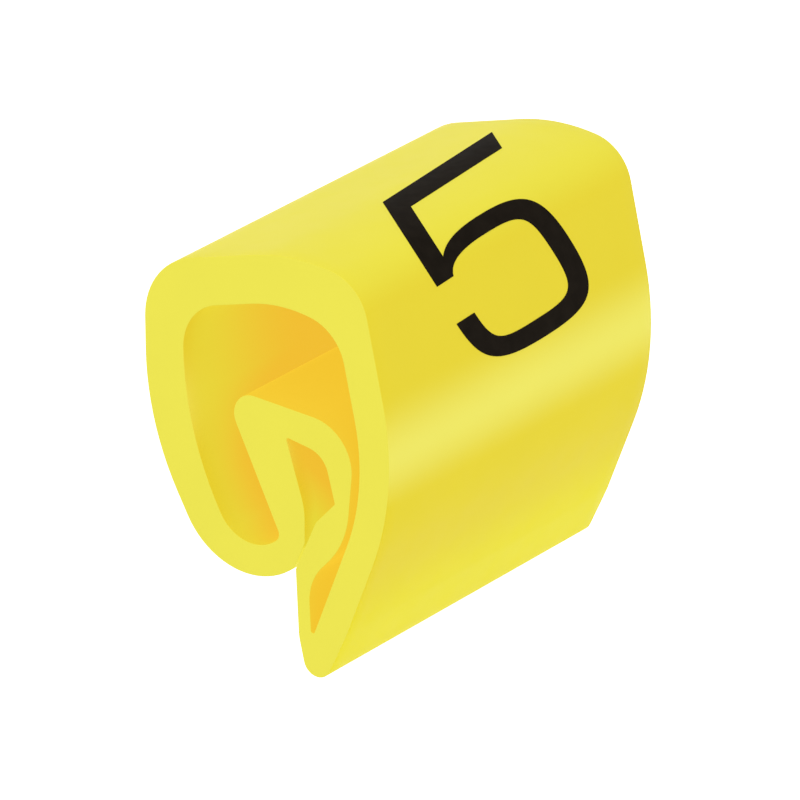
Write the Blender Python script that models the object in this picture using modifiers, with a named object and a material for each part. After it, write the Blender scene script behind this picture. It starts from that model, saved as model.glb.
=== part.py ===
"""A soft sleeve marker for a cable, cut from one extruded, folded profile.

The section is a single closed wall. It runs up the right side, over the crown, down the
left side and round a lobe, and is then folded back in: up a slanting web to a rounded nose,
back along a tongue and down a flap that lies close to the right wall. The flap and the
right wall join in a lip below the lobe, and the lip touches the lobe in a fine slit. The
cable pushes the tongue down, so one sleeve grips a range of cables.

The cable's axis is the Y axis. Section points are (x, z) in millimetres from that axis, as
seen from the front end, with the solid on the right-hand side going round the outside.
"""

from math import acos, atan2, ceil, cos, hypot, pi, radians, sin, tan

import bmesh
import bpy

MM = 0.001

# Length along the cable, with the two cut ends very slightly eased
LENGTH = 11.5
CUT_EDGE_ROUNDING = 0.04

# Outside of the profile: corners before rounding
CROWN_PEAK = (-0.04, 2.88)
SHOULDER = (2.09, 2.55)
RIGHT_BULGE = (3.30, -2.82)
LIP_HEEL = (1.63, -7.15)
LIP_TIP = (0.58, -9.41)
LIP_SIDE = (0.14, -7.53)
NOTCH = (0.05, -5.71)
LOBE = (-2.05, -7.48)
LEFT_BULGE = (-4.63, -2.80)
TOP_LEFT = (-4.675, 1.575)

# Outside roundings
CROWN_PEAK_RADIUS = 7.20
SHOULDER_RADIUS = 1.68
BULGE_RADIUS = 7.85
LIP_HEEL_RADIUS = 1.80
LIP_TIP_RADIUS = 0.43
LIP_SIDE_RADIUS = 1.42
LOBE_RADIUS = 2.33
TOP_LEFT_RADIUS = 1.98

# Wall between each outside face and the cable's passage
CROWN_LEFT_WALL = 1.27
CROWN_RIGHT_WALL = 1.49
RIGHT_UPPER_WALL = 1.00
RIGHT_LOWER_WALL = 0.87
LIP_LEAF_WALL = 0.395
LOBE_WALL = 0.83
LEFT_LOWER_WALL = 1.09
LEFT_UPPER_WALL = 1.21

# Fold, seen from the passage: the flap stands off the right wall by a gap at each end, and
# the web runs down from the nose to the lobe at an angle from the vertical, in degrees
TONGUE_HEIGHT = -1.225
TONGUE_FALL = 0.255
NOSE_REACH = -2.26
FLAP_GAP = 0.05
KNEE_GAP = 0.03
KNEE_HEIGHT = -4.63
LIP_LEAF_HEIGHT = -5.92
WEB_ANGLE = 26.35

# Walls of the fold, from the passage to the pocket behind it
TONGUE_NOSE_WALL = 0.805
TONGUE_FLAP_WALL = 0.93
FLAP_UPPER_WALL = 0.895
FLAP_LOWER_WALL = 0.445
HEEL_WALL = 0.95
WEB_UPPER_WALL = 1.39
WEB_LOWER_WALL = 1.11

# Slit that leads from the notch up into the pocket: its length is that of the bank on the
# lobe, and its angle is from the horizontal, in degrees
SLIT_GAP = 0.05
SLIT_LENGTH = 0.84
SLIT_ANGLE = 66.3

# Roundings inside the passage
CROWN_INNER_RADIUS = 3.95
SHOULDER_INNER_RADIUS = 1.33
RIGHT_INNER_RADIUS = 6.10
FOLD_ROOT_RADIUS = 0.06
LIP_LEAF_RADIUS = 1.46
KNEE_RADIUS = 2.47
FLAP_RADIUS = 1.26
NOSE_RADIUS = 0.60
WEB_FOOT_RADIUS = 0.31
LOBE_INNER_RADIUS = 1.44
LEFT_INNER_RADIUS = 10.80
TOP_LEFT_INNER_RADIUS = 1.73

# Roundings inside the pocket
POCKET_APEX_RADIUS = 0.06
POCKET_TOP_RADIUS = 0.72
POCKET_SIDE_RADIUS = 0.06
HEEL_BEND_RADIUS = 0.30
WEB_BEND_RADIUS = 2.00
NOTCH_RADIUS = 0.03

# Largest distance between a round stretch and its facets
FACET_SAG = 0.002

# Points nearer than this are one point
SAME_POINT = 0.001

# A face is part of a cut end if its normal lies this much along the extrusion
CUT_END_NORMAL = 0.99

NODE_NAME = "marker_sleeve"
COLLECTION_NAME = "cable_marker"


def direction(start, end):
    """Unit vector from one section point to another."""
    span = hypot(end[0] - start[0], end[1] - start[1])
    return (end[0] - start[0]) / span, (end[1] - start[1]) / span


def inset(face, distance):
    """A face moved to its right-hand side, which is into the solid on the outside."""
    along_x, along_z = direction(*face)
    return [(x + along_z * distance, z - along_x * distance) for x, z in face]


def crossing(first, second):
    """Point where the lines of two faces meet."""
    (ax, az), (bx, bz) = first
    (cx, cz), (dx, dz) = second
    first_x, first_z = bx - ax, bz - az
    second_x, second_z = dx - cx, dz - cz
    turn = first_x * second_z - first_z * second_x
    share = ((cx - ax) * second_z - (cz - az) * second_x) / turn
    return ax + share * first_x, az + share * first_z


def at_height(face, z):
    """Point of a face's line at a height."""
    return crossing(face, [(0.0, z), (1.0, z)])


def apart(first, second):
    """True for two points that are far enough from each other to be two."""
    return hypot(second[0] - first[0], second[1] - first[1]) > SAME_POINT


def half_angle(corner, before, after):
    """Half of the angle between the two faces that meet at a corner."""
    back = direction(corner, before)
    on = direction(corner, after)
    dot = back[0] * on[0] + back[1] * on[1]
    cross = back[0] * on[1] - back[1] * on[0]
    return abs(atan2(cross, dot)) / 2


def arc(corner, before, after, reach):
    """Points of the arc that rounds a corner, tangent to each face at reach from the corner."""
    back = direction(corner, before)
    on = direction(corner, after)
    half = half_angle(corner, before, after)
    radius = reach * tan(half)
    middle = direction((0.0, 0.0), (back[0] + on[0], back[1] + on[1]))
    centre_x = corner[0] + middle[0] * radius / sin(half)
    centre_z = corner[1] + middle[1] * radius / sin(half)
    first = atan2(corner[1] + back[1] * reach - centre_z, corner[0] + back[0] * reach - centre_x)
    last = atan2(corner[1] + on[1] * reach - centre_z, corner[0] + on[0] * reach - centre_x)
    sweep = (last - first + pi) % (2 * pi) - pi
    facet = 2 * acos(1 - min(FACET_SAG / radius, 0.5))
    steps = max(1, ceil(abs(sweep) / facet))
    angles = [first + sweep * step / steps for step in range(steps + 1)]
    return [(centre_x + radius * cos(a), centre_z + radius * sin(a)) for a in angles]


def rounded(corners):
    """Closed outline through corners given as (point, radius).

    Two roundings that need more than the face between them are both cut back to fit on it.
    """
    count = len(corners)
    points = [point for point, radius in corners]
    triples = [(points[i], points[i - 1], points[(i + 1) % count]) for i in range(count)]
    wanted = [corners[i][1] / tan(half_angle(*triples[i])) for i in range(count)]
    faces = [hypot(*(a - b for a, b in zip(points[i], points[i - 1]))) for i in range(count)]
    room = [faces[i] / max(wanted[i - 1] + wanted[i], faces[i]) for i in range(count)]
    outline = []
    for i in range(count):
        reach = wanted[i] * min(room[i], room[(i + 1) % count])
        outline += arc(*triples[i], reach) if reach else [points[i]]
    return [here for last, here in zip(outline[-1:] + outline, outline) if apart(last, here)]


def slit_faces():
    """The two banks of the slit, each from the notch up to the pocket."""
    slope = radians(SLIT_ANGLE)
    top = (NOTCH[0] + SLIT_LENGTH * cos(slope), NOTCH[1] + SLIT_LENGTH * sin(slope))
    lip_bank = [NOTCH, top]
    lobe_bank = inset(lip_bank, -SLIT_GAP)
    return lip_bank, lobe_bank


def passage_corners():
    """Corners of the passage, which is the outside set in by the walls and closed by the fold."""
    lobe_bank = slit_faces()[1]
    crown_left = inset([TOP_LEFT, CROWN_PEAK], CROWN_LEFT_WALL)
    crown_right = inset([CROWN_PEAK, SHOULDER], CROWN_RIGHT_WALL)
    right_upper = inset([SHOULDER, RIGHT_BULGE], RIGHT_UPPER_WALL)
    right_lower = inset([RIGHT_BULGE, LIP_HEEL], RIGHT_LOWER_WALL)
    lip_leaf = inset([LIP_SIDE, NOTCH], LIP_LEAF_WALL)
    lobe = inset([lobe_bank[0], LOBE], LOBE_WALL)
    left_lower = inset([LOBE, LEFT_BULGE], LEFT_LOWER_WALL)
    left_upper = inset([LEFT_BULGE, TOP_LEFT], LEFT_UPPER_WALL)

    nose = (NOSE_REACH, TONGUE_HEIGHT)
    slope = radians(WEB_ANGLE)
    web = [nose, (nose[0] + sin(slope), nose[1] - cos(slope))]
    return {
        "crown": (crossing(crown_left, crown_right), CROWN_INNER_RADIUS),
        "shoulder": (crossing(crown_right, right_upper), SHOULDER_INNER_RADIUS),
        "right": (crossing(right_upper, right_lower), RIGHT_INNER_RADIUS),
        "fold_root": (crossing(right_lower, lip_leaf), FOLD_ROOT_RADIUS),
        "lip_leaf": (at_height(lip_leaf, LIP_LEAF_HEIGHT), LIP_LEAF_RADIUS),
        "knee": (at_height(inset(right_lower, KNEE_GAP), KNEE_HEIGHT), KNEE_RADIUS),
        "flap": (at_height(inset(right_upper, FLAP_GAP), TONGUE_HEIGHT - TONGUE_FALL), FLAP_RADIUS),
        "nose": (nose, NOSE_RADIUS),
        "web_foot": (crossing(lobe, web), WEB_FOOT_RADIUS),
        "lobe": (crossing(lobe, left_lower), LOBE_INNER_RADIUS),
        "left": (crossing(left_lower, left_upper), LEFT_INNER_RADIUS),
        "top_left": (crossing(left_upper, crown_left), TOP_LEFT_INNER_RADIUS),
    }


def pocket_corners(passage):
    """Corners of the slit and the pocket behind the fold, from the lip round to the lobe."""
    lip_bank, lobe_bank = slit_faces()
    corner = {name: point for name, (point, radius) in passage.items()}
    heel = [corner["lip_leaf"], corner["knee"]]
    flap = [corner["knee"], corner["flap"]]
    tongue = [corner["flap"], corner["nose"]]
    web = [corner["nose"], corner["web_foot"]]

    heel_back = inset(heel, -HEEL_WALL)
    side = crossing(heel_back, inset(flap, -FLAP_LOWER_WALL))
    top = crossing(inset(flap, -FLAP_UPPER_WALL), inset(tongue, -TONGUE_FLAP_WALL))
    apex = crossing(inset(tongue, -TONGUE_NOSE_WALL), inset(web, -WEB_UPPER_WALL))
    web_back = [lobe_bank[1], (lobe_bank[1][0], corner["nose"][1])]
    return [
        (lip_bank[0], 0.0),
        (crossing(lip_bank, heel_back), HEEL_BEND_RADIUS),
        (side, POCKET_SIDE_RADIUS),
        (top, POCKET_TOP_RADIUS),
        (apex, POCKET_APEX_RADIUS),
        (crossing(inset(web, -WEB_LOWER_WALL), web_back), WEB_BEND_RADIUS),
        (lobe_bank[1], 0.0),
        (lobe_bank[0], NOTCH_RADIUS),
    ]


def outside_corners(passage):
    """Corners of the outside, clockwise from the crown, with the slit and pocket let in."""
    return [
        (CROWN_PEAK, CROWN_PEAK_RADIUS),
        (SHOULDER, SHOULDER_RADIUS),
        (RIGHT_BULGE, BULGE_RADIUS),
        (LIP_HEEL, LIP_HEEL_RADIUS),
        (LIP_TIP, LIP_TIP_RADIUS),
        (LIP_SIDE, LIP_SIDE_RADIUS),
        *pocket_corners(passage),
        (LOBE, LOBE_RADIUS),
        (LEFT_BULGE, BULGE_RADIUS),
        (TOP_LEFT, TOP_LEFT_RADIUS),
    ]


def add_outline(curve, outline):
    """Adds one closed outline of the section to a flat curve."""
    spline = curve.splines.new("POLY")
    spline.points.add(len(outline) - 1)
    for point, (x, z) in zip(spline.points, outline):
        point.co = (x * MM, z * MM, 0.0, 1.0)
    spline.use_cyclic_u = True


def extruded(name, outlines, length):
    """Curve object of the outlines, filled and extruded along Y."""
    curve = bpy.data.curves.new(name, "CURVE")
    curve.dimensions = "2D"
    curve.fill_mode = "BOTH"
    for outline in outlines:
        add_outline(curve, outline)
    curve.extrude = length / 2 * MM
    shape = bpy.data.objects.new(name, curve)
    shape.rotation_euler = (pi / 2, 0.0, 0.0)
    return shape


def as_welded_mesh(shape, collection):
    """Replaces a curve object by a mesh object whose caps are joined to its sides."""
    name = shape.name
    collection.objects.link(shape)
    bpy.context.view_layer.update()
    evaluated = shape.evaluated_get(bpy.context.evaluated_depsgraph_get())
    mesh = bpy.data.meshes.new_from_object(evaluated)
    work = bmesh.new()
    work.from_mesh(mesh)
    bmesh.ops.remove_doubles(work, verts=work.verts, dist=SAME_POINT * MM)
    bmesh.ops.recalc_face_normals(work, faces=work.faces)
    work.to_mesh(mesh)
    work.free()
    solid = bpy.data.objects.new(name, mesh)
    solid.matrix_world = shape.matrix_world.copy()
    bpy.data.objects.remove(shape)
    solid.name = name
    mesh.name = name
    collection.objects.link(solid)
    return solid


def ease_cut_edges(solid, rounding):
    """Bevels the edges between the two cut ends and the sides of an extruded solid."""
    mesh = solid.data
    is_cut_end = [abs(face.normal.z) > CUT_END_NORMAL for face in mesh.polygons]
    cut_faces_at = {}
    for face in mesh.polygons:
        for key in face.edge_keys:
            cut_faces_at.setdefault(key, []).append(is_cut_end[face.index])
    weights = mesh.attributes.new("bevel_weight_edge", "FLOAT", "EDGE")
    for edge in mesh.edges:
        weights.data[edge.index].value = float(sum(cut_faces_at[edge.key]) == 1)
    bevel = solid.modifiers.new("eased_cut_edges", "BEVEL")
    bevel.limit_method = "WEIGHT"
    bevel.width = rounding * MM
    bevel.segments = 2
    bevel.use_clamp_overlap = False


def soft_pvc():
    """Yellow flexible PVC with a satin skin."""
    material = bpy.data.materials.new("soft_pvc_yellow")
    material.use_nodes = True
    shader = material.node_tree.nodes["Principled BSDF"]
    shader.inputs["Base Color"].default_value = (0.84, 0.77, 0.09, 1.0)
    shader.inputs["Roughness"].default_value = 0.45
    shader.inputs["Metallic"].default_value = 0.0
    return material


def main():
    for item in list(bpy.data.objects):
        bpy.data.objects.remove(item)
    collection = bpy.data.collections.new(COLLECTION_NAME)
    bpy.context.scene.collection.children.link(collection)

    passage = passage_corners()
    outlines = [rounded(outside_corners(passage)), rounded(list(passage.values()))]
    profile = extruded(NODE_NAME, outlines, LENGTH)
    sleeve = as_welded_mesh(profile, collection)
    ease_cut_edges(sleeve, CUT_EDGE_ROUNDING)
    sleeve.data.materials.append(soft_pvc())
    sleeve.data.shade_smooth()
    sleeve.data.set_sharp_from_angle(angle=radians(30))


main()
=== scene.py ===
from math import cos, pi, radians, sin, sqrt

import bmesh
import bpy
from mathutils import Matrix, Vector
from mathutils.bvhtree import BVHTree
from mathutils.geometry import delaunay_2d_cdt
from mathutils.kdtree import KDTree


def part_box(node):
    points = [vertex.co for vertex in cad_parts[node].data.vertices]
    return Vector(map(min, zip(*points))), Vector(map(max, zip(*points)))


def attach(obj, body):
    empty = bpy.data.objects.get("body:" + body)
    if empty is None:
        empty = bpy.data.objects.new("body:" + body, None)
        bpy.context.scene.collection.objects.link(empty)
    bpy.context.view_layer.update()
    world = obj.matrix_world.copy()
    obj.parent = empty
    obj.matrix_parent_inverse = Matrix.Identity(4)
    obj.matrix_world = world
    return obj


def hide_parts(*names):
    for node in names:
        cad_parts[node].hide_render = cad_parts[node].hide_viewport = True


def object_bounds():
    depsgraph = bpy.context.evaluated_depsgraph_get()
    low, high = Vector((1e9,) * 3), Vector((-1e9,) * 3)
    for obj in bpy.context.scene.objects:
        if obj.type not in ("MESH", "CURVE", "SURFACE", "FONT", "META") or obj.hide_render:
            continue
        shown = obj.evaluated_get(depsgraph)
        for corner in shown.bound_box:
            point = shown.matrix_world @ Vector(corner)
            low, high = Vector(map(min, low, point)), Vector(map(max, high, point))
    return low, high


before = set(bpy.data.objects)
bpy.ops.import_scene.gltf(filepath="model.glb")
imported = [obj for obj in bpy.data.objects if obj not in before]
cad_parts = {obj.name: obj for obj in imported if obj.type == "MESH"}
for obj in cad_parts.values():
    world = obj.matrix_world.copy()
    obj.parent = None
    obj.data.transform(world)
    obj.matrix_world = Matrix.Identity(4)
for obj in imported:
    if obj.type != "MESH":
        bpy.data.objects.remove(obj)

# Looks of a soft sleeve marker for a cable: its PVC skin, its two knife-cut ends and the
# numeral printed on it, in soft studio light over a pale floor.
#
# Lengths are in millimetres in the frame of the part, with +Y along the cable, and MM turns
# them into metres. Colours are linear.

MM = 0.001

CAD_NODE = "marker_sleeve"
BODY = "root"

# Camera: what it looks at, from where, how much it takes in, and how near and far it sees
CAMERA_TARGET = (-0.867, 0.0, -3.279)
CAMERA_AZIMUTH = radians(36.0)
CAMERA_ELEVATION = radians(23.069)
CAMERA_DISTANCE = 262.69
CAMERA_LENS = 461.81
CAMERA_SENSOR = 36.0
CAMERA_NEAR = 10.0
CAMERA_FAR = 10000.0

# Section of the node: points that are welded, points that count as on the cut, points too close
# to keep, what long sides are split into, and a step off a side that tells where the wall is
WELD = 0.0005
ON_CUT = 0.00001
CLOSE_POINTS = 0.02
OUTLINE_MESH = 0.25
INTO_WALL = 0.01

# Sleeve mesh: length of one ring of faces, rounding of the cut edges, and the grid on the cut
# ends with its distance from their rims
RING_LENGTH = 0.5
CUT_EDGE_ROUNDING = 0.02
CUT_EDGE_STEPS = 3
END_MESH = 0.30
END_MARGIN = 0.14
END_SAME_POINT = 0.0003

# Sharpest edge that is shaded smooth, and how far along the cable a cut face looks
SHARP_ANGLE = radians(40)
CUT_FACE_NORMAL = 0.5

# Hollow places: rays cast from each point, how far they start off the skin and how far they reach
HOLLOW_RAYS = 96
RAY_START = 0.02
RAY_REACH = 40.0

# Upper side of the fold, which the light only reaches through the wall and which gets a painted
# amber glow in its place: it starts right of the nose, ends above the lobe, and faces up or to the
# right. FOLD_TURN is the least that it faces there, and FOLD_SHUT the least share of rays that is
# stopped. The gap beside the flap belongs to it.
FOLD_LEFT = -1.55
FOLD_TOP = -1.0
LOBE_TOP = -4.7
LOBE_RIGHT = 0.2
GAP_LEFT = 0.45
GAP_TOP = -4.65
FOLD_FACING = Vector((0.5, 0.0, 0.866))
FOLD_TURN = 0.2
FOLD_SHUT = 0.25

# Box round the pocket behind the fold, which has its own colours of painted glow
POCKET_LEFT = -0.35
POCKET_RIGHT = 1.40
POCKET_LOW = -4.45
POCKET_HIGH = -2.00

# Slit between lip and lobe, whose two banks touch in the real sleeve and show no dark line. A
# painted glow fills the slit's shade, and below SLIT_TOP it has nearly the colour of the cut ends.
SLIT_LEFT = -0.10
SLIT_RIGHT = 0.42
SLIT_LOW = -5.80
SLIT_HIGH = -4.25
SLIT_TOP = -4.97
SLIT_FADE = 0.14

# Numeral, drawn upright in millimetres and read from the camera's side. Each round stretch is
# a start, its two handles and an end.
NUMERAL_PLACE = (2.227, 3.968)
NUMERAL_TILT = radians(32.7)
BAR_LEFT = -1.655
BAR_RIGHT = 1.665
BAR_TOP = 2.36
BAR_BOTTOM = 1.88
STEM_RIGHT = -1.11
STEM_BOTTOM = -0.21
STEM_FOOT = (-1.155, -0.205)
BOWL_OUTSIDE = [
    ((STEM_RIGHT, 0.35), (-0.86, 0.68), (-0.35, 0.75), (0.13, 0.75)),
    ((0.13, 0.75), (1.43, 0.75), (1.865, 0.45), (1.865, -0.92)),
    ((1.865, -0.92), (1.865, -2.43), (1.53, -2.77), (0.11, -2.77)),
    ((0.11, -2.77), (-1.44, -2.77), (-1.75, -2.50), (-1.75, -1.28)),
]
BOWL_INSIDE = [
    ((-1.21, -1.28), (-1.21, -2.27), (-1.01, -2.28), (0.20, -2.28)),
    ((0.20, -2.28), (1.18, -2.28), (1.33, -2.12), (1.33, -1.01)),
    ((1.33, -1.01), (1.33, 0.12), (1.19, 0.27), (0.03, 0.27)),
    ((0.03, 0.27), (-0.71, 0.27), (-1.06, 0.10), STEM_FOOT),
]
STRETCH_STEPS = 24
INK_MESH = 0.08
INK_SAME_POINT = 0.0008
INK_HEIGHT = 0.010
INK_DEPTH = 0.004

# Painted light and shade on the skin: a painted top light on faces that look up this much, a
# painted highlight in a band that reaches this far above and below the bulge, and painted light
# from below from one distance below the bulge to another, on the lip. Under the bulge a painted
# shade makes it a deeper yellow.
TOP_LIGHT_FROM = 0.23
BULGE_HEIGHT = -2.0
BULGE_ABOVE = 1.7
BULGE_BELOW = 1.5
UNDER_BULGE = 2.0
LIP_FROM = 2.9
LIP_FULL = 5.6

# Colours
SKIN_YELLOW = (0.908, 0.748, 0.038)
# The next four: painted top light, painted shade under the bulge, painted highlight along the bulge and
# painted light from below on the lip
SKIN_PAINTED_TOP_LIGHT = (0.905, 0.815, 0.062)
PAINTED_SHADE_UNDER_BULGE = (0.905, 0.745, 0.024)
BULGE_PAINTED_HIGHLIGHT = (0.98, 0.91, 0.138)
LIP_PAINTED_LIGHT = (0.950, 0.850, 0.016)
CUT_YELLOW = (0.923, 0.853, 0.088)
# The next four: a painted glow that stands in for light through the wall and between the walls, in the
# hollows, on the fold and in the slit
HOLLOW_GLOW_YELLOW = (0.82, 0.755, 0.055)
HOLLOW_GLOW_AMBER = (0.900, 0.590, 0.043)
FOLD_GLOW_AMBER = (0.912, 0.628, 0.040)
SLIT_GLOW_YELLOW = (0.885, 0.82, 0.090)
INK_BLACK = (0.013, 0.010, 0.007)

# Soft clouds in each colour: the values of the noise that they span, and for each its waves per
# millimetre, its detail, and the least and most of the colour
CLOUD_SPREAD = (0.25, 0.75)
SKIN_CLOUD = (0.35, 2.0, 0.985, 1.0)
CUT_CLOUD = (0.5, 2.0, 0.985, 1.0)
INK_CLOUD = (2.5, 3.0, 0.9, 1.2)

# Finish: the values of the noise that the roughness spans, and for each its waves per millimetre
# and the least and most of the roughness
ROUGH_SPREAD = (0.2, 0.8)
ROUGH_DETAIL = 3.0
SKIN_ROUGHNESS = (1.6, 0.40, 0.48)
CUT_ROUGHNESS = (3.0, 0.50, 0.60)
INK_ROUGHNESS = (4.0, 0.42, 0.52)
PVC_IOR = 1.53
PVC_GLOSS = 0.06
INK_GLOSS = 0.005

# Relief: lines that the die leaves along the skin, marks of the blade across the cut ends, and a
# fine grain. Stretch of the noise, waves per millimetre, and depth.
LINE_ROUGHNESS = 0.6
DIE_STRETCH = (1.0, 0.03, 1.0)
DIE_WAVES = 5.0
DIE_DETAIL = 3.0
SKIN_LINE_DEPTH = 0.0020
INK_LINE_DEPTH = 0.0015
BLADE_STRETCH = (0.12, 1.0, 1.0)
BLADE_TURN = (0.0, radians(24), 0.0)
BLADE_WAVES = 6.0
BLADE_DETAIL = 4.0
BLADE_DEPTH = 0.0022
SKIN_GRAIN = (9.0, 0.0012)
CUT_GRAIN = (14.0, 0.0010)
INK_GRAIN = (12.0, 0.0012)

# Floor, some way under the sleeve, which hangs on its cable
FLOOR_DROP = 30.0
FLOOR_HALF = 1500.0
FLOOR_SQUARES = 8
FLOOR_WHITE = 0.90
FLOOR_GLOW = 0.70

# Hollow places, where a painted glow stands in for light through the wall and between the walls:
# from what share of the rays on they count as hollow, and how much of their colour is lit and how
# much is painted glow
HOLLOW_FROM = 0.15
HOLLOW_FULL = 0.85
HOLLOW_LIT = 0.30
HOLLOW_PAINTED_GLOW = 0.71

# Passage, whose painted glow is yellow by the cut ends and on the left, fully amber after this
# depth or this much further right. Beside the slanting web that comes sooner, and starts further
# right.
AMBER_DEPTH = 5.0
AMBER_LEFT = -2.9
AMBER_WIDTH = 1.9
WEB_TOP = -1.9
WEB_HEIGHT = 2.1
WEB_LEAN = 0.9
WEB_GAIN = 1.6

# Pocket: the heights where its painted glow is yellow and amber, and from how far in it also turns
# amber with depth, over what length
POCKET_YELLOW = -4.45
POCKET_AMBER = -3.0
POCKET_DEEP_FROM = 0.5
POCKET_DEEP = 1.25

# Light that comes from all round
AMBIENT = 0.86

# Lamps: name, azimuth and elevation in degrees, distance, side, and how brightly each alone
# lights a white card
LAMPS = [
    ("top_box", -30, 62, 120, 80, 0.08),
    ("front_box", 8, 20, 140, 90, 0.06),
    ("right_box", 92, -10, 140, 90, 0.065),
]

# Sockets of the colour mixing node, which has several of each name
MIX_FIRST = 6
MIX_SECOND = 7
MIX_RESULT = 2


def direction_of(azimuth, elevation):
    """Unit vector towards a place seen at an azimuth and an elevation; azimuth 0 is the front."""
    flat = cos(elevation)
    return Vector((sin(azimuth) * flat, -cos(azimuth) * flat, sin(elevation)))


def camera_axes():
    """Right, up and back directions of the camera."""
    back = direction_of(CAMERA_AZIMUTH, CAMERA_ELEVATION)
    right = Vector((cos(CAMERA_AZIMUTH), sin(CAMERA_AZIMUTH), 0.0))
    return right, back.cross(right), back


def turned(right, up, back):
    """Rotation matrix whose columns are the three directions."""
    return Matrix((right, up, back)).transposed()


def link(item):
    """Puts an object in the scene."""
    bpy.context.scene.collection.objects.link(item)
    return item


def as_object(work, name):
    """Object of a closed mesh, without loose corners and with its faces turned outward."""
    loose = [vertex for vertex in work.verts if not vertex.link_faces]
    bmesh.ops.delete(work, geom=loose, context="VERTS")
    bmesh.ops.recalc_face_normals(work, faces=work.faces)
    mesh = bpy.data.meshes.new(name)
    work.to_mesh(mesh)
    work.free()
    return link(bpy.data.objects.new(name, mesh))


def surface_tree(mesh):
    """Tree of a mesh's faces that rays can be cast at."""
    return BVHTree.FromPolygons([v.co for v in mesh.vertices], [p.vertices[:] for p in mesh.polygons])


def point_grid(outline, spacing):
    """Evenly spread points over the box of a flat outline."""
    low = Vector((min(p.x for p in outline), min(p.y for p in outline)))
    high = Vector((max(p.x for p in outline), max(p.y for p in outline)))
    rows = int((high.y - low.y) / spacing)
    columns = int((high.x - low.x) / spacing)
    return [
        low + Vector(((column + 0.5 * (row % 2)) * spacing, row * spacing))
        for row in range(rows + 1)
        for column in range(columns + 1)
    ]


def is_inside(point, outline, borders):
    """True for a point of the solid between its outlines, which are crossed an odd number of times."""
    crossed = 0
    for first, second in borders:
        a, b = outline[first], outline[second]
        if (a.y > point.y) != (b.y > point.y):
            crossed += point.x < a.x + (b.x - a.x) * (point.y - a.y) / (b.y - a.y)
    return crossed % 2 == 1


def section_outlines(node, y):
    """Closed outlines in millimetres of the node's own solid, cut at a place in metres along it."""
    work = bmesh.new()
    work.from_mesh(node.data)
    bmesh.ops.remove_doubles(work, verts=work.verts, dist=WELD * MM)
    cut = bmesh.ops.bisect_plane(
        work,
        geom=work.verts[:] + work.edges[:] + work.faces[:],
        plane_co=(0.0, y, 0.0),
        plane_no=(0.0, 1.0, 0.0),
        dist=ON_CUT * MM,
    )
    beside = {}
    for item in cut["geom_cut"]:
        if isinstance(item, bmesh.types.BMEdge):
            first, second = item.verts
            beside.setdefault(first, []).append(second)
            beside.setdefault(second, []).append(first)
    outlines = []
    while beside:
        here = next(iter(beside))
        outline = []
        while here:
            outline.append(Vector((here.co.x, here.co.z)) / MM)
            here = next((vertex for vertex in beside.pop(here) if vertex in beside), None)
        outlines.append(outline)
    work.free()
    return outlines


def evened(outline):
    """The outline with its closest points dropped and its long sides split."""
    kept = outline[:1]
    for point in outline[1:]:
        if min((point - kept[-1]).length, (point - kept[0]).length) > CLOSE_POINTS:
            kept.append(point)
    return list(split_long(kept, OUTLINE_MESH))


def section_points(node, y):
    """Points of the evened section at y, and the pairs of them that its sides join."""
    points, borders = [], []
    for outline in map(evened, section_outlines(node, y)):
        first, count = len(points), len(outline)
        borders += [(first + i, first + (i + 1) % count) for i in range(count)]
        points += outline
    return points, borders


def into_wall(points, borders):
    """Direction into the wall at each point of the section."""
    inward = [Vector((0.0, 0.0)) for _ in points]
    for first, second in borders:
        along = (points[second] - points[first]).normalized()
        across = Vector((-along.y, along.x))
        middle = (points[first] + points[second]) / 2
        side = 1 if is_inside(middle + across * INTO_WALL, points, borders) else -1
        inward[first] += across * side
        inward[second] += across * side
    return [direction.normalized() for direction in inward]


def ring_places(half):
    """Place along the sleeve and inset of each ring of corners, from one cut end to the other."""
    straight = half - CUT_EDGE_ROUNDING
    rounded = []
    for step in range(CUT_EDGE_STEPS, -1, -1):
        turn = pi / 2 * step / CUT_EDGE_STEPS
        inset = CUT_EDGE_ROUNDING * (1 - cos(turn))
        rounded.append((straight + CUT_EDGE_ROUNDING * sin(turn), inset))
    count = round(2 * straight / RING_LENGTH)
    between = [(straight * (2 * ring / count - 1), 0.0) for ring in range(1, count)]
    return [(-y, inset) for y, inset in rounded] + between + rounded[::-1]


def end_triangles(outline, borders):
    """Even triangles over a cut end: the grid inside its rims, and the corners of each face.

    Corners are numbered through the outline and then the grid.
    """
    rim = KDTree(len(outline))
    for i, point in enumerate(outline):
        rim.insert((point.x, point.y, 0.0), i)
    rim.balance()
    grid = [p for p in point_grid(outline, END_MESH) if rim.find((p.x, p.y, 0.0))[2] > END_MARGIN]
    points, _, faces, sources, *_ = delaunay_2d_cdt(outline + grid, borders, [], 1, END_SAME_POINT)
    numbers = [min(source) for source in sources]
    middles = [sum((points[i] for i in face), Vector((0.0, 0.0))) / 3 for face in faces]
    kept = [face for face, middle in zip(faces, middles) if is_inside(middle, outline, borders)]
    return grid, [[numbers[i] for i in face] for face in kept]


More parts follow.
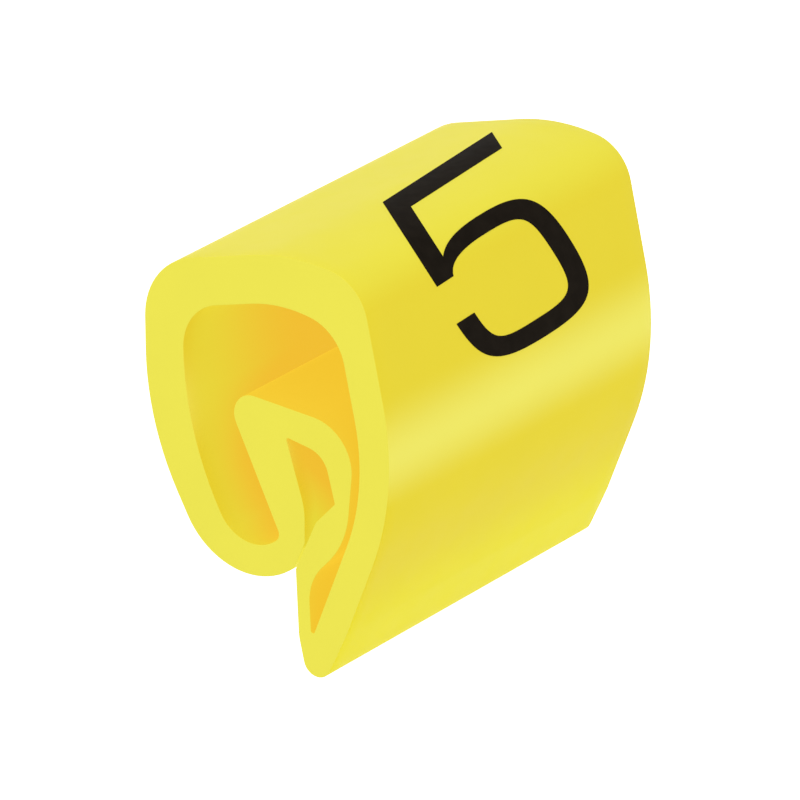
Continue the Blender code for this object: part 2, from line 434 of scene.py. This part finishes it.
def refined_sleeve(node):
    """The node's own section drawn out to its length, with even rings and evenly meshed cut ends."""
    low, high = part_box(CAD_NODE)
    half = (high.y - low.y) / 2 / MM
    points, borders = section_points(node, (low.y + high.y) / 2)
    inward = into_wall(points, borders)

    work = bmesh.new()
    rings = []
    for y, inset in ring_places(half):
        inset_points = [point + direction * inset for point, direction in zip(points, inward)]
        rings.append([work.verts.new((p.x * MM, y * MM, p.y * MM)) for p in inset_points])
        if len(rings) == 1:
            grid, triangles = end_triangles(inset_points, borders)
    for ring, after in zip(rings, rings[1:]):
        for a, b in borders:
            work.faces.new((ring[a], ring[b], after[b], after[a]))
    for ring, y in ((rings[0], -half), (rings[-1], half)):
        corners = ring + [work.verts.new((p.x * MM, y * MM, p.y * MM)) for p in grid]
        for triangle in triangles:
            work.faces.new([corners[i] for i in triangle])
    return as_object(work, "sleeve_skin")


def part_surfaces(mesh):
    """Shades the skin smooth and the cut ends flat, and gives each its own material."""
    mesh.set_sharp_from_angle(angle=SHARP_ANGLE)
    for face in mesh.polygons:
        cut = abs(face.normal.y) > CUT_FACE_NORMAL
        face.material_index = int(cut)
        face.use_smooth = not cut
    mesh.materials.append(skin_pvc())
    mesh.materials.append(cut_pvc())


def hemisphere(normal):
    """Directions on the side of a normal, spread so that more of them lie near it."""
    tangent = normal.orthogonal().normalized()
    other = normal.cross(tangent)
    golden = pi * (3 - sqrt(5))
    for step in range(HOLLOW_RAYS):
        height = sqrt(1 - (step + 0.5) / HOLLOW_RAYS)
        radius = sqrt(1 - height * height)
        turn = golden * step
        yield normal * height + tangent * (radius * cos(turn)) + other * (radius * sin(turn))


def stopped_share(tree, vertex):
    """Share of the rays from a point of the skin that meet the sleeve again."""
    start = vertex.co + vertex.normal * RAY_START * MM
    hits = [tree.ray_cast(start, ray, RAY_REACH * MM)[0] for ray in hemisphere(vertex.normal)]
    return sum(hit is not None for hit in hits) / HOLLOW_RAYS


def mark_hollows(mesh):
    """Stores how shut in each point is, and whether it is on the fold, in the pocket or in the slit."""
    tree = surface_tree(mesh)
    marks = {"shut_in": [], "on_fold": [], "in_pocket": [], "in_slit": []}
    for vertex in mesh.vertices:
        shut_in = stopped_share(tree, vertex)
        x, z = vertex.co.x / MM, vertex.co.z / MM
        inside = shut_in > FOLD_SHUT and FOLD_LEFT < x and z < FOLD_TOP
        slit = SLIT_LEFT < x < SLIT_RIGHT and SLIT_LOW < z < SLIT_HIGH
        pocket = slit or POCKET_LEFT < x < POCKET_RIGHT and POCKET_LOW < z < POCKET_HIGH
        above_lobe = z > LOBE_TOP or x > LOBE_RIGHT
        facing = vertex.normal.dot(FOLD_FACING) > FOLD_TURN
        in_gap = x > GAP_LEFT and z < GAP_TOP or x > POCKET_RIGHT and z < POCKET_HIGH
        marks["shut_in"].append(shut_in)
        marks["on_fold"].append(inside and not pocket and (above_lobe and facing or in_gap))
        marks["in_pocket"].append(pocket)
        marks["in_slit"].append(slit)
    for name, values in marks.items():
        mesh.attributes.new(name, "FLOAT", "POINT").data.foreach_set("value", [float(v) for v in values])


def stretch_points(stretches):
    """Points along cubic stretches, each with its start and without its end."""
    for start, leaving, arriving, end in stretches:
        for step in range(STRETCH_STEPS):
            t = step / STRETCH_STEPS
            s = 1 - t
            weights = (s * s * s, 3 * s * s * t, 3 * s * t * t, t * t * t)
            corners = (start, leaving, arriving, end)
            yield Vector((
                sum(w * c[0] for w, c in zip(weights, corners)),
                sum(w * c[1] for w, c in zip(weights, corners)),
            ))


def split_long(points, spacing):
    """The closed outline with its long straight sides split."""
    for here, after in zip(points, points[1:] + points[:1]):
        parts = max(1, round((after - here).length / spacing))
        for part in range(parts):
            yield here.lerp(after, part / parts)


def numeral_outline():
    """Closed outline of the numeral five."""
    outline = [
        Vector(STEM_FOOT),
        Vector((BAR_LEFT, STEM_BOTTOM)),
        Vector((BAR_LEFT, BAR_TOP)),
        Vector((BAR_RIGHT, BAR_TOP)),
        Vector((BAR_RIGHT, BAR_BOTTOM)),
        Vector((STEM_RIGHT, BAR_BOTTOM)),
    ]
    outline += list(stretch_points(BOWL_OUTSIDE))
    outline.append(Vector(BOWL_OUTSIDE[-1][-1]))
    outline += list(stretch_points(BOWL_INSIDE))
    return list(split_long(outline, INK_MESH))


def numeral_triangles(outline):
    """Points and triangles that fill the outline evenly."""
    count = len(outline)
    border = [(i, (i + 1) % count) for i in range(count)]
    inputs = outline + point_grid(outline, INK_MESH)
    points, _, faces, *_ = delaunay_2d_cdt(inputs, border, [], 1, INK_SAME_POINT)
    return points, faces


def printed_numeral(skin):
    """Ink film on the skin, laid where the numeral reads straight from the camera's side."""
    right, up, back = camera_axes()
    target = Vector(CAMERA_TARGET)
    eye = target + back * CAMERA_DISTANCE
    tree = surface_tree(skin)
    points, faces = numeral_triangles(numeral_outline())
    along = right * cos(NUMERAL_TILT) + up * sin(NUMERAL_TILT)
    across = up * cos(NUMERAL_TILT) - right * sin(NUMERAL_TILT)
    middle = target + right * NUMERAL_PLACE[0] + up * NUMERAL_PLACE[1]

    work = bmesh.new()
    outer, inner = [], []
    for point in points:
        aim = middle + along * point.x + across * point.y
        hit, normal, _, _ = tree.ray_cast(eye * MM, (aim - eye).normalized())
        outer.append(work.verts.new(hit + normal * INK_HEIGHT * MM))
        inner.append(work.verts.new(hit - normal * INK_DEPTH * MM))
    for face in faces:
        work.faces.new([outer[i] for i in face])
        work.faces.new([inner[i] for i in reversed(face)])
    rim = [edge for edge in work.edges if edge.is_boundary]
    partner = {a: b for a, b in zip(outer, inner)}
    for edge in rim:
        first, second = edge.verts
        if first in partner and second in partner:
            work.faces.new((first, second, partner[second], partner[first]))
    numeral = as_object(work, "printed_numeral")
    numeral.data.shade_smooth()
    numeral.data.set_sharp_from_angle(angle=SHARP_ANGLE)
    numeral.data.materials.append(black_ink())
    return numeral


class Nodes:
    """Builds the node tree of a material or of the world."""

    def __init__(self, owner):
        owner.use_nodes = True
        self.owner = owner
        self.tree = owner.node_tree
        self.shader = self.tree.nodes.get("Principled BSDF")

    def set(self, socket, value):
        """Gives a socket a link or a constant."""
        if isinstance(value, bpy.types.NodeSocket):
            self.tree.links.new(value, socket)
        elif isinstance(value, tuple) and socket.type == "RGBA":
            socket.default_value = (*value, 1.0)
        else:
            socket.default_value = value

    def add(self, kind, settings=None, **inputs):
        """Adds a node with its settings and inputs, whose names have _ for a space."""
        item = self.tree.nodes.new(kind)
        for name, value in (settings or {}).items():
            setattr(item, name, value)
        for name, value in inputs.items():
            self.set(item.inputs[name.replace("_", " ")], value)
        return item

    def attribute(self, name):
        """Value stored on the mesh."""
        return self.add("ShaderNodeAttribute", {"attribute_name": name}).outputs["Fac"]

    def millimetres(self, scale=(1.0, 1.0, 1.0), turn=(0.0, 0.0, 0.0)):
        """Place on the object in millimetres, stretched by a scale."""
        place = self.add("ShaderNodeTexCoord").outputs["Object"]
        size = tuple(s / MM for s in scale)
        return self.add("ShaderNodeMapping", Vector=place, Scale=size, Rotation=turn).outputs[0]

    def noise(self, place, scale, detail=2.0, roughness=0.5):
        """Soft noise from 0 to 1, scale in waves per millimetre."""
        item = self.add("ShaderNodeTexNoise", Vector=place, Scale=scale, Detail=detail, Roughness=roughness)
        return item.outputs["Fac"]

    def ramp(self, value, low, high, to_low=0.0, to_high=1.0, kind="SMOOTHSTEP"):
        """Value mapped from one range to another."""
        item = self.add("ShaderNodeMapRange", {"interpolation_type": kind}, Value=value)
        for name, number in zip(("From Min", "From Max", "To Min", "To Max"), (low, high, to_low, to_high)):
            item.inputs[name].default_value = number
        return item.outputs[0]

    def math(self, operation, first, second):
        """Result of an operation on two values."""
        item = self.add("ShaderNodeMath", {"operation": operation})
        self.set(item.inputs[0], first)
        self.set(item.inputs[1], second)
        return item.outputs[0]

    def mix(self, share, first, second):
        """Colour between two colours."""
        item = self.add("ShaderNodeMix", {"data_type": "RGBA"})
        self.set(item.inputs["Factor"], share)
        self.set(item.inputs[MIX_FIRST], first)
        self.set(item.inputs[MIX_SECOND], second)
        return item.outputs[MIX_RESULT]

    def tinted(self, colour, level):
        """Colour times a level."""
        item = self.add("ShaderNodeVectorMath", {"operation": "SCALE"}, Scale=level)
        if isinstance(colour, tuple):
            item.inputs[0].default_value = colour
        else:
            self.set(item.inputs[0], colour)
        return item.outputs[0]

    def axis(self, vector, name):
        """One of the three values of a vector."""
        return self.add("ShaderNodeSeparateXYZ", Vector=vector).outputs[name]

    def upward(self):
        """How much the face looks up: 1 straight up, -1 straight down."""
        return self.axis(self.add("ShaderNodeTexCoord").outputs["Normal"], "Z")

    def bump(self, height, depth, under=None):
        """Normal of a relief of this height in millimetres."""
        item = self.add("ShaderNodeBump", Height=height, Distance=depth * MM, Strength=1.0)
        if under:
            self.set(item.inputs["Normal"], under)
        return item.outputs[0]


def clouded(n, place, colour, cloud):
    """Colour that soft clouds darken or lighten a little."""
    waves, detail, least, most = cloud
    return n.tinted(colour, n.ramp(n.noise(place, waves, detail), *CLOUD_SPREAD, least, most))


def set_roughness(n, place, roughness):
    """Roughness that varies softly between two values."""
    waves, least, most = roughness
    spread = n.ramp(n.noise(place, waves, ROUGH_DETAIL), *ROUGH_SPREAD, least, most, "LINEAR")
    n.set(n.shader.inputs["Roughness"], spread)


def set_relief(n, place, lines, depth, grain):
    """Relief of lines of one depth under a fine grain."""
    waves, grain_depth = grain
    under = n.bump(lines, depth)
    n.set(n.shader.inputs["Normal"], n.bump(n.noise(place, waves), grain_depth, under))


def die_lines(n):
    """Faint lines that the die leaves along the sleeve."""
    return n.noise(n.millimetres(DIE_STRETCH), DIE_WAVES, DIE_DETAIL, LINE_ROUGHNESS)


def blade_marks(n):
    """Faint marks that the blade leaves across a cut end."""
    place = n.millimetres(BLADE_STRETCH, BLADE_TURN)
    return n.noise(place, BLADE_WAVES, BLADE_DETAIL, LINE_ROUGHNESS)


def depth_share(n, place, start, length):
    """0 as far in from a cut end as the start, and 1 from a length deeper on."""
    first = 0.5 * (cad_high.y - cad_low.y) / MM - start
    from_middle = n.math("ABSOLUTE", n.axis(place, "Y"), 0.0)
    return n.ramp(from_middle, first, first - length, kind="LINEAR")


def passage_painted_glow(n, place):
    """Painted glow of the passage: amber with depth and to the right, sooner but further right beside the
    slanting web.
    """
    beside_web = n.ramp(n.axis(place, "Z"), WEB_TOP, WEB_TOP - WEB_HEIGHT, kind="LINEAR")
    gain = n.math("ADD", 1.0, n.math("MULTIPLY", beside_web, WEB_GAIN))
    depth = n.math("MULTIPLY", depth_share(n, place, 0.0, AMBER_DEPTH), gain)
    leaned = n.math("SUBTRACT", n.axis(place, "X"), n.math("MULTIPLY", beside_web, WEB_LEAN))
    across = n.ramp(leaned, AMBER_LEFT, AMBER_LEFT + AMBER_WIDTH, kind="LINEAR")
    amber = n.ramp(n.math("ADD", depth, across), 0.0, 1.0)
    return n.mix(amber, HOLLOW_GLOW_YELLOW, HOLLOW_GLOW_AMBER)


def pocket_painted_glow(n, place):
    """Painted glow of the pocket: amber at the top and with depth, yellow low down by the cut ends."""
    upward = n.ramp(n.axis(place, "Z"), POCKET_YELLOW, POCKET_AMBER, kind="LINEAR")
    depth = depth_share(n, place, POCKET_DEEP_FROM, POCKET_DEEP)
    amber = n.ramp(n.math("ADD", upward, depth), 0.0, 1.0, kind="LINEAR")
    return n.mix(amber, HOLLOW_GLOW_YELLOW, HOLLOW_GLOW_AMBER)


def hollow_painted_glow(n, place):
    """Colour of the painted glow that stands in for light through the wall, in each kind of hollow place.
    """
    walls = n.mix(n.attribute("in_pocket"), passage_painted_glow(n, place), pocket_painted_glow(n, place))
    walls = n.mix(n.attribute("on_fold"), walls, FOLD_GLOW_AMBER)
    return n.mix(slit_share(n, place), walls, SLIT_GLOW_YELLOW)


def slit_share(n, place):
    """1 in the slit below the pocket, and otherwise 0."""
    below = n.ramp(n.axis(place, "Z"), SLIT_TOP, SLIT_TOP - SLIT_FADE)
    return n.math("MULTIPLY", below, n.attribute("in_slit"))


def skin_yellow_and_painted_light(n, place):
    """Yellow of the skin with painted light: a painted top light, a painted highlight along the bulge,
    painted light on the lip and painted shade under the bulge.
    """
    height = n.axis(place, "Z")
    under = n.ramp(height, BULGE_HEIGHT, BULGE_HEIGHT - UNDER_BULGE)
    lip = n.ramp(height, BULGE_HEIGHT - LIP_FROM, BULGE_HEIGHT - LIP_FULL)
    above = n.ramp(height, BULGE_HEIGHT + BULGE_ABOVE, BULGE_HEIGHT)
    below = n.ramp(height, BULGE_HEIGHT - BULGE_BELOW, BULGE_HEIGHT)
    sides = n.mix(lip, n.mix(under, SKIN_YELLOW, PAINTED_SHADE_UNDER_BULGE), LIP_PAINTED_LIGHT)
    sides = n.mix(n.math("MULTIPLY", above, below), sides, BULGE_PAINTED_HIGHLIGHT)
    return n.mix(n.ramp(n.upward(), TOP_LIGHT_FROM, 1.0), sides, SKIN_PAINTED_TOP_LIGHT)


def skin_pvc():
    """Extruded skin: satin yellow with painted light and shade, a painted amber glow in the hollows, faint
    lines from the die.
    """
    n = Nodes(bpy.data.materials.new("pvc_skin"))
    place = n.millimetres()
    skin = clouded(n, place, skin_yellow_and_painted_light(n, place), SKIN_CLOUD)
    # Painted glow: in hollow places the base colour is dimmed and an emission stands in for light through
    # the wall
    shut = n.ramp(n.attribute("shut_in"), HOLLOW_FROM, HOLLOW_FULL)
    on_fold_or_slit = n.math("MAXIMUM", n.attribute("on_fold"), slit_share(n, place))
    hollow = n.math("MAXIMUM", shut, on_fold_or_slit)
    through = hollow_painted_glow(n, place)
    n.set(n.shader.inputs["Base Color"], n.mix(hollow, skin, n.tinted(through, HOLLOW_LIT)))
    n.set(n.shader.inputs["Emission Color"], through)
    n.set(n.shader.inputs["Emission Strength"], n.math("MULTIPLY", hollow, HOLLOW_PAINTED_GLOW))
    set_roughness(n, place, SKIN_ROUGHNESS)
    set_relief(n, place, die_lines(n), SKIN_LINE_DEPTH, SKIN_GRAIN)
    finish_pvc(n)
    return n.owner


def cut_pvc():
    """Knife-cut end: paler and more matt than the skin, with faint marks of the blade."""
    n = Nodes(bpy.data.materials.new("pvc_cut"))
    place = n.millimetres()
    n.set(n.shader.inputs["Base Color"], clouded(n, place, CUT_YELLOW, CUT_CLOUD))
    set_roughness(n, place, CUT_ROUGHNESS)
    set_relief(n, place, blade_marks(n), BLADE_DEPTH, CUT_GRAIN)
    finish_pvc(n)
    return n.owner


def finish_pvc(n):
    """What skin and cut ends share."""
    n.shader.inputs["IOR"].default_value = PVC_IOR
    n.shader.inputs["Specular IOR Level"].default_value = PVC_GLOSS
    n.owner.cycles.emission_sampling = "NONE"


def black_ink():
    """Printing ink: almost black, hardly glossy, and thin enough to show the skin's lines."""
    n = Nodes(bpy.data.materials.new("black_ink"))
    place = n.millimetres()
    n.set(n.shader.inputs["Base Color"], clouded(n, place, INK_BLACK, INK_CLOUD))
    n.shader.inputs["Specular IOR Level"].default_value = INK_GLOSS
    set_roughness(n, place, INK_ROUGHNESS)
    set_relief(n, place, die_lines(n), INK_LINE_DEPTH, INK_GRAIN)
    return n.owner


def pale_floor(low):
    """Wide white floor under the part, as white as the background where no shadow falls."""
    work = bmesh.new()
    bmesh.ops.create_grid(work, x_segments=FLOOR_SQUARES, y_segments=FLOOR_SQUARES, size=FLOOR_HALF * MM)
    bmesh.ops.translate(work, verts=work.verts, vec=(0.0, 0.0, low.z - FLOOR_DROP * MM))
    mesh = bpy.data.meshes.new("floor")
    work.to_mesh(mesh)
    work.free()
    floor = link(bpy.data.objects.new("floor", mesh))

    n = Nodes(bpy.data.materials.new("white_floor"))
    n.tree.nodes.remove(n.shader)
    diffuse = n.add("ShaderNodeBsdfDiffuse", Color=(FLOOR_WHITE, FLOOR_WHITE, FLOOR_WHITE))
    glow = n.add("ShaderNodeEmission", Strength=n.math("MULTIPLY", seen_rays(n), FLOOR_GLOW))
    both = n.add("ShaderNodeAddShader")
    n.set(both.inputs[0], diffuse.outputs[0])
    n.set(both.inputs[1], glow.outputs[0])
    n.set(n.tree.nodes["Material Output"].inputs["Surface"], both.outputs[0])
    mesh.materials.append(n.owner)


def seen_rays(n):
    """1 for rays that the eye sees directly, in a gloss or through glass, and otherwise 0."""
    path = n.add("ShaderNodeLightPath").outputs
    gloss = n.math("MAXIMUM", path["Is Glossy Ray"], path["Is Transmission Ray"])
    return n.math("MAXIMUM", path["Is Camera Ray"], gloss)


def world_light():
    """White where it is seen, and soft grey light from all round."""
    world = bpy.data.worlds.new("studio")
    bpy.context.scene.world = world
    n = Nodes(world)
    background = n.tree.nodes["Background"]
    background.inputs["Color"].default_value = (1.0, 1.0, 1.0, 1.0)
    strength = n.ramp(seen_rays(n), 0.0, 1.0, AMBIENT, 1.0, "LINEAR")
    n.set(background.inputs["Strength"], strength)


def soft_box(name, azimuth, elevation, distance, size, level):
    """Square lamp that faces the part."""
    back = direction_of(radians(azimuth), radians(elevation))
    lamp = bpy.data.lights.new(name, "AREA")
    lamp.shape = "SQUARE"
    lamp.size = size * MM
    lamp.energy = level * (pi * distance * MM) ** 2
    item = link(bpy.data.objects.new(name, lamp))
    item.location = (Vector(CAMERA_TARGET) + back * distance) * MM
    item.rotation_mode = "QUATERNION"
    item.rotation_quaternion = back.to_track_quat("Z", "Y")
    item.visible_camera = False


def add_camera():
    """Camera at the photograph's viewing angle."""
    right, up, back = camera_axes()
    data = bpy.data.cameras.new("camera")
    data.sensor_width = CAMERA_SENSOR
    data.lens = CAMERA_LENS
    data.clip_start = CAMERA_NEAR * MM
    data.clip_end = CAMERA_FAR * MM
    camera = link(bpy.data.objects.new("camera", data))
    place = (Vector(CAMERA_TARGET) + back * CAMERA_DISTANCE) * MM
    camera.matrix_world = Matrix.Translation(place) @ turned(right, up, back).to_4x4()
    bpy.context.scene.camera = camera


cad_low, cad_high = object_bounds()
add_camera()

sleeve = refined_sleeve(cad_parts[CAD_NODE])
mark_hollows(sleeve.data)
part_surfaces(sleeve.data)
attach(sleeve, BODY)
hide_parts(CAD_NODE)

numeral = printed_numeral(sleeve.data)
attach(numeral, BODY)

pale_floor(cad_low)
world_light()
for settings in LAMPS:
    soft_box(*settings)

bpy.context.scene.view_settings.view_transform = "Standard"
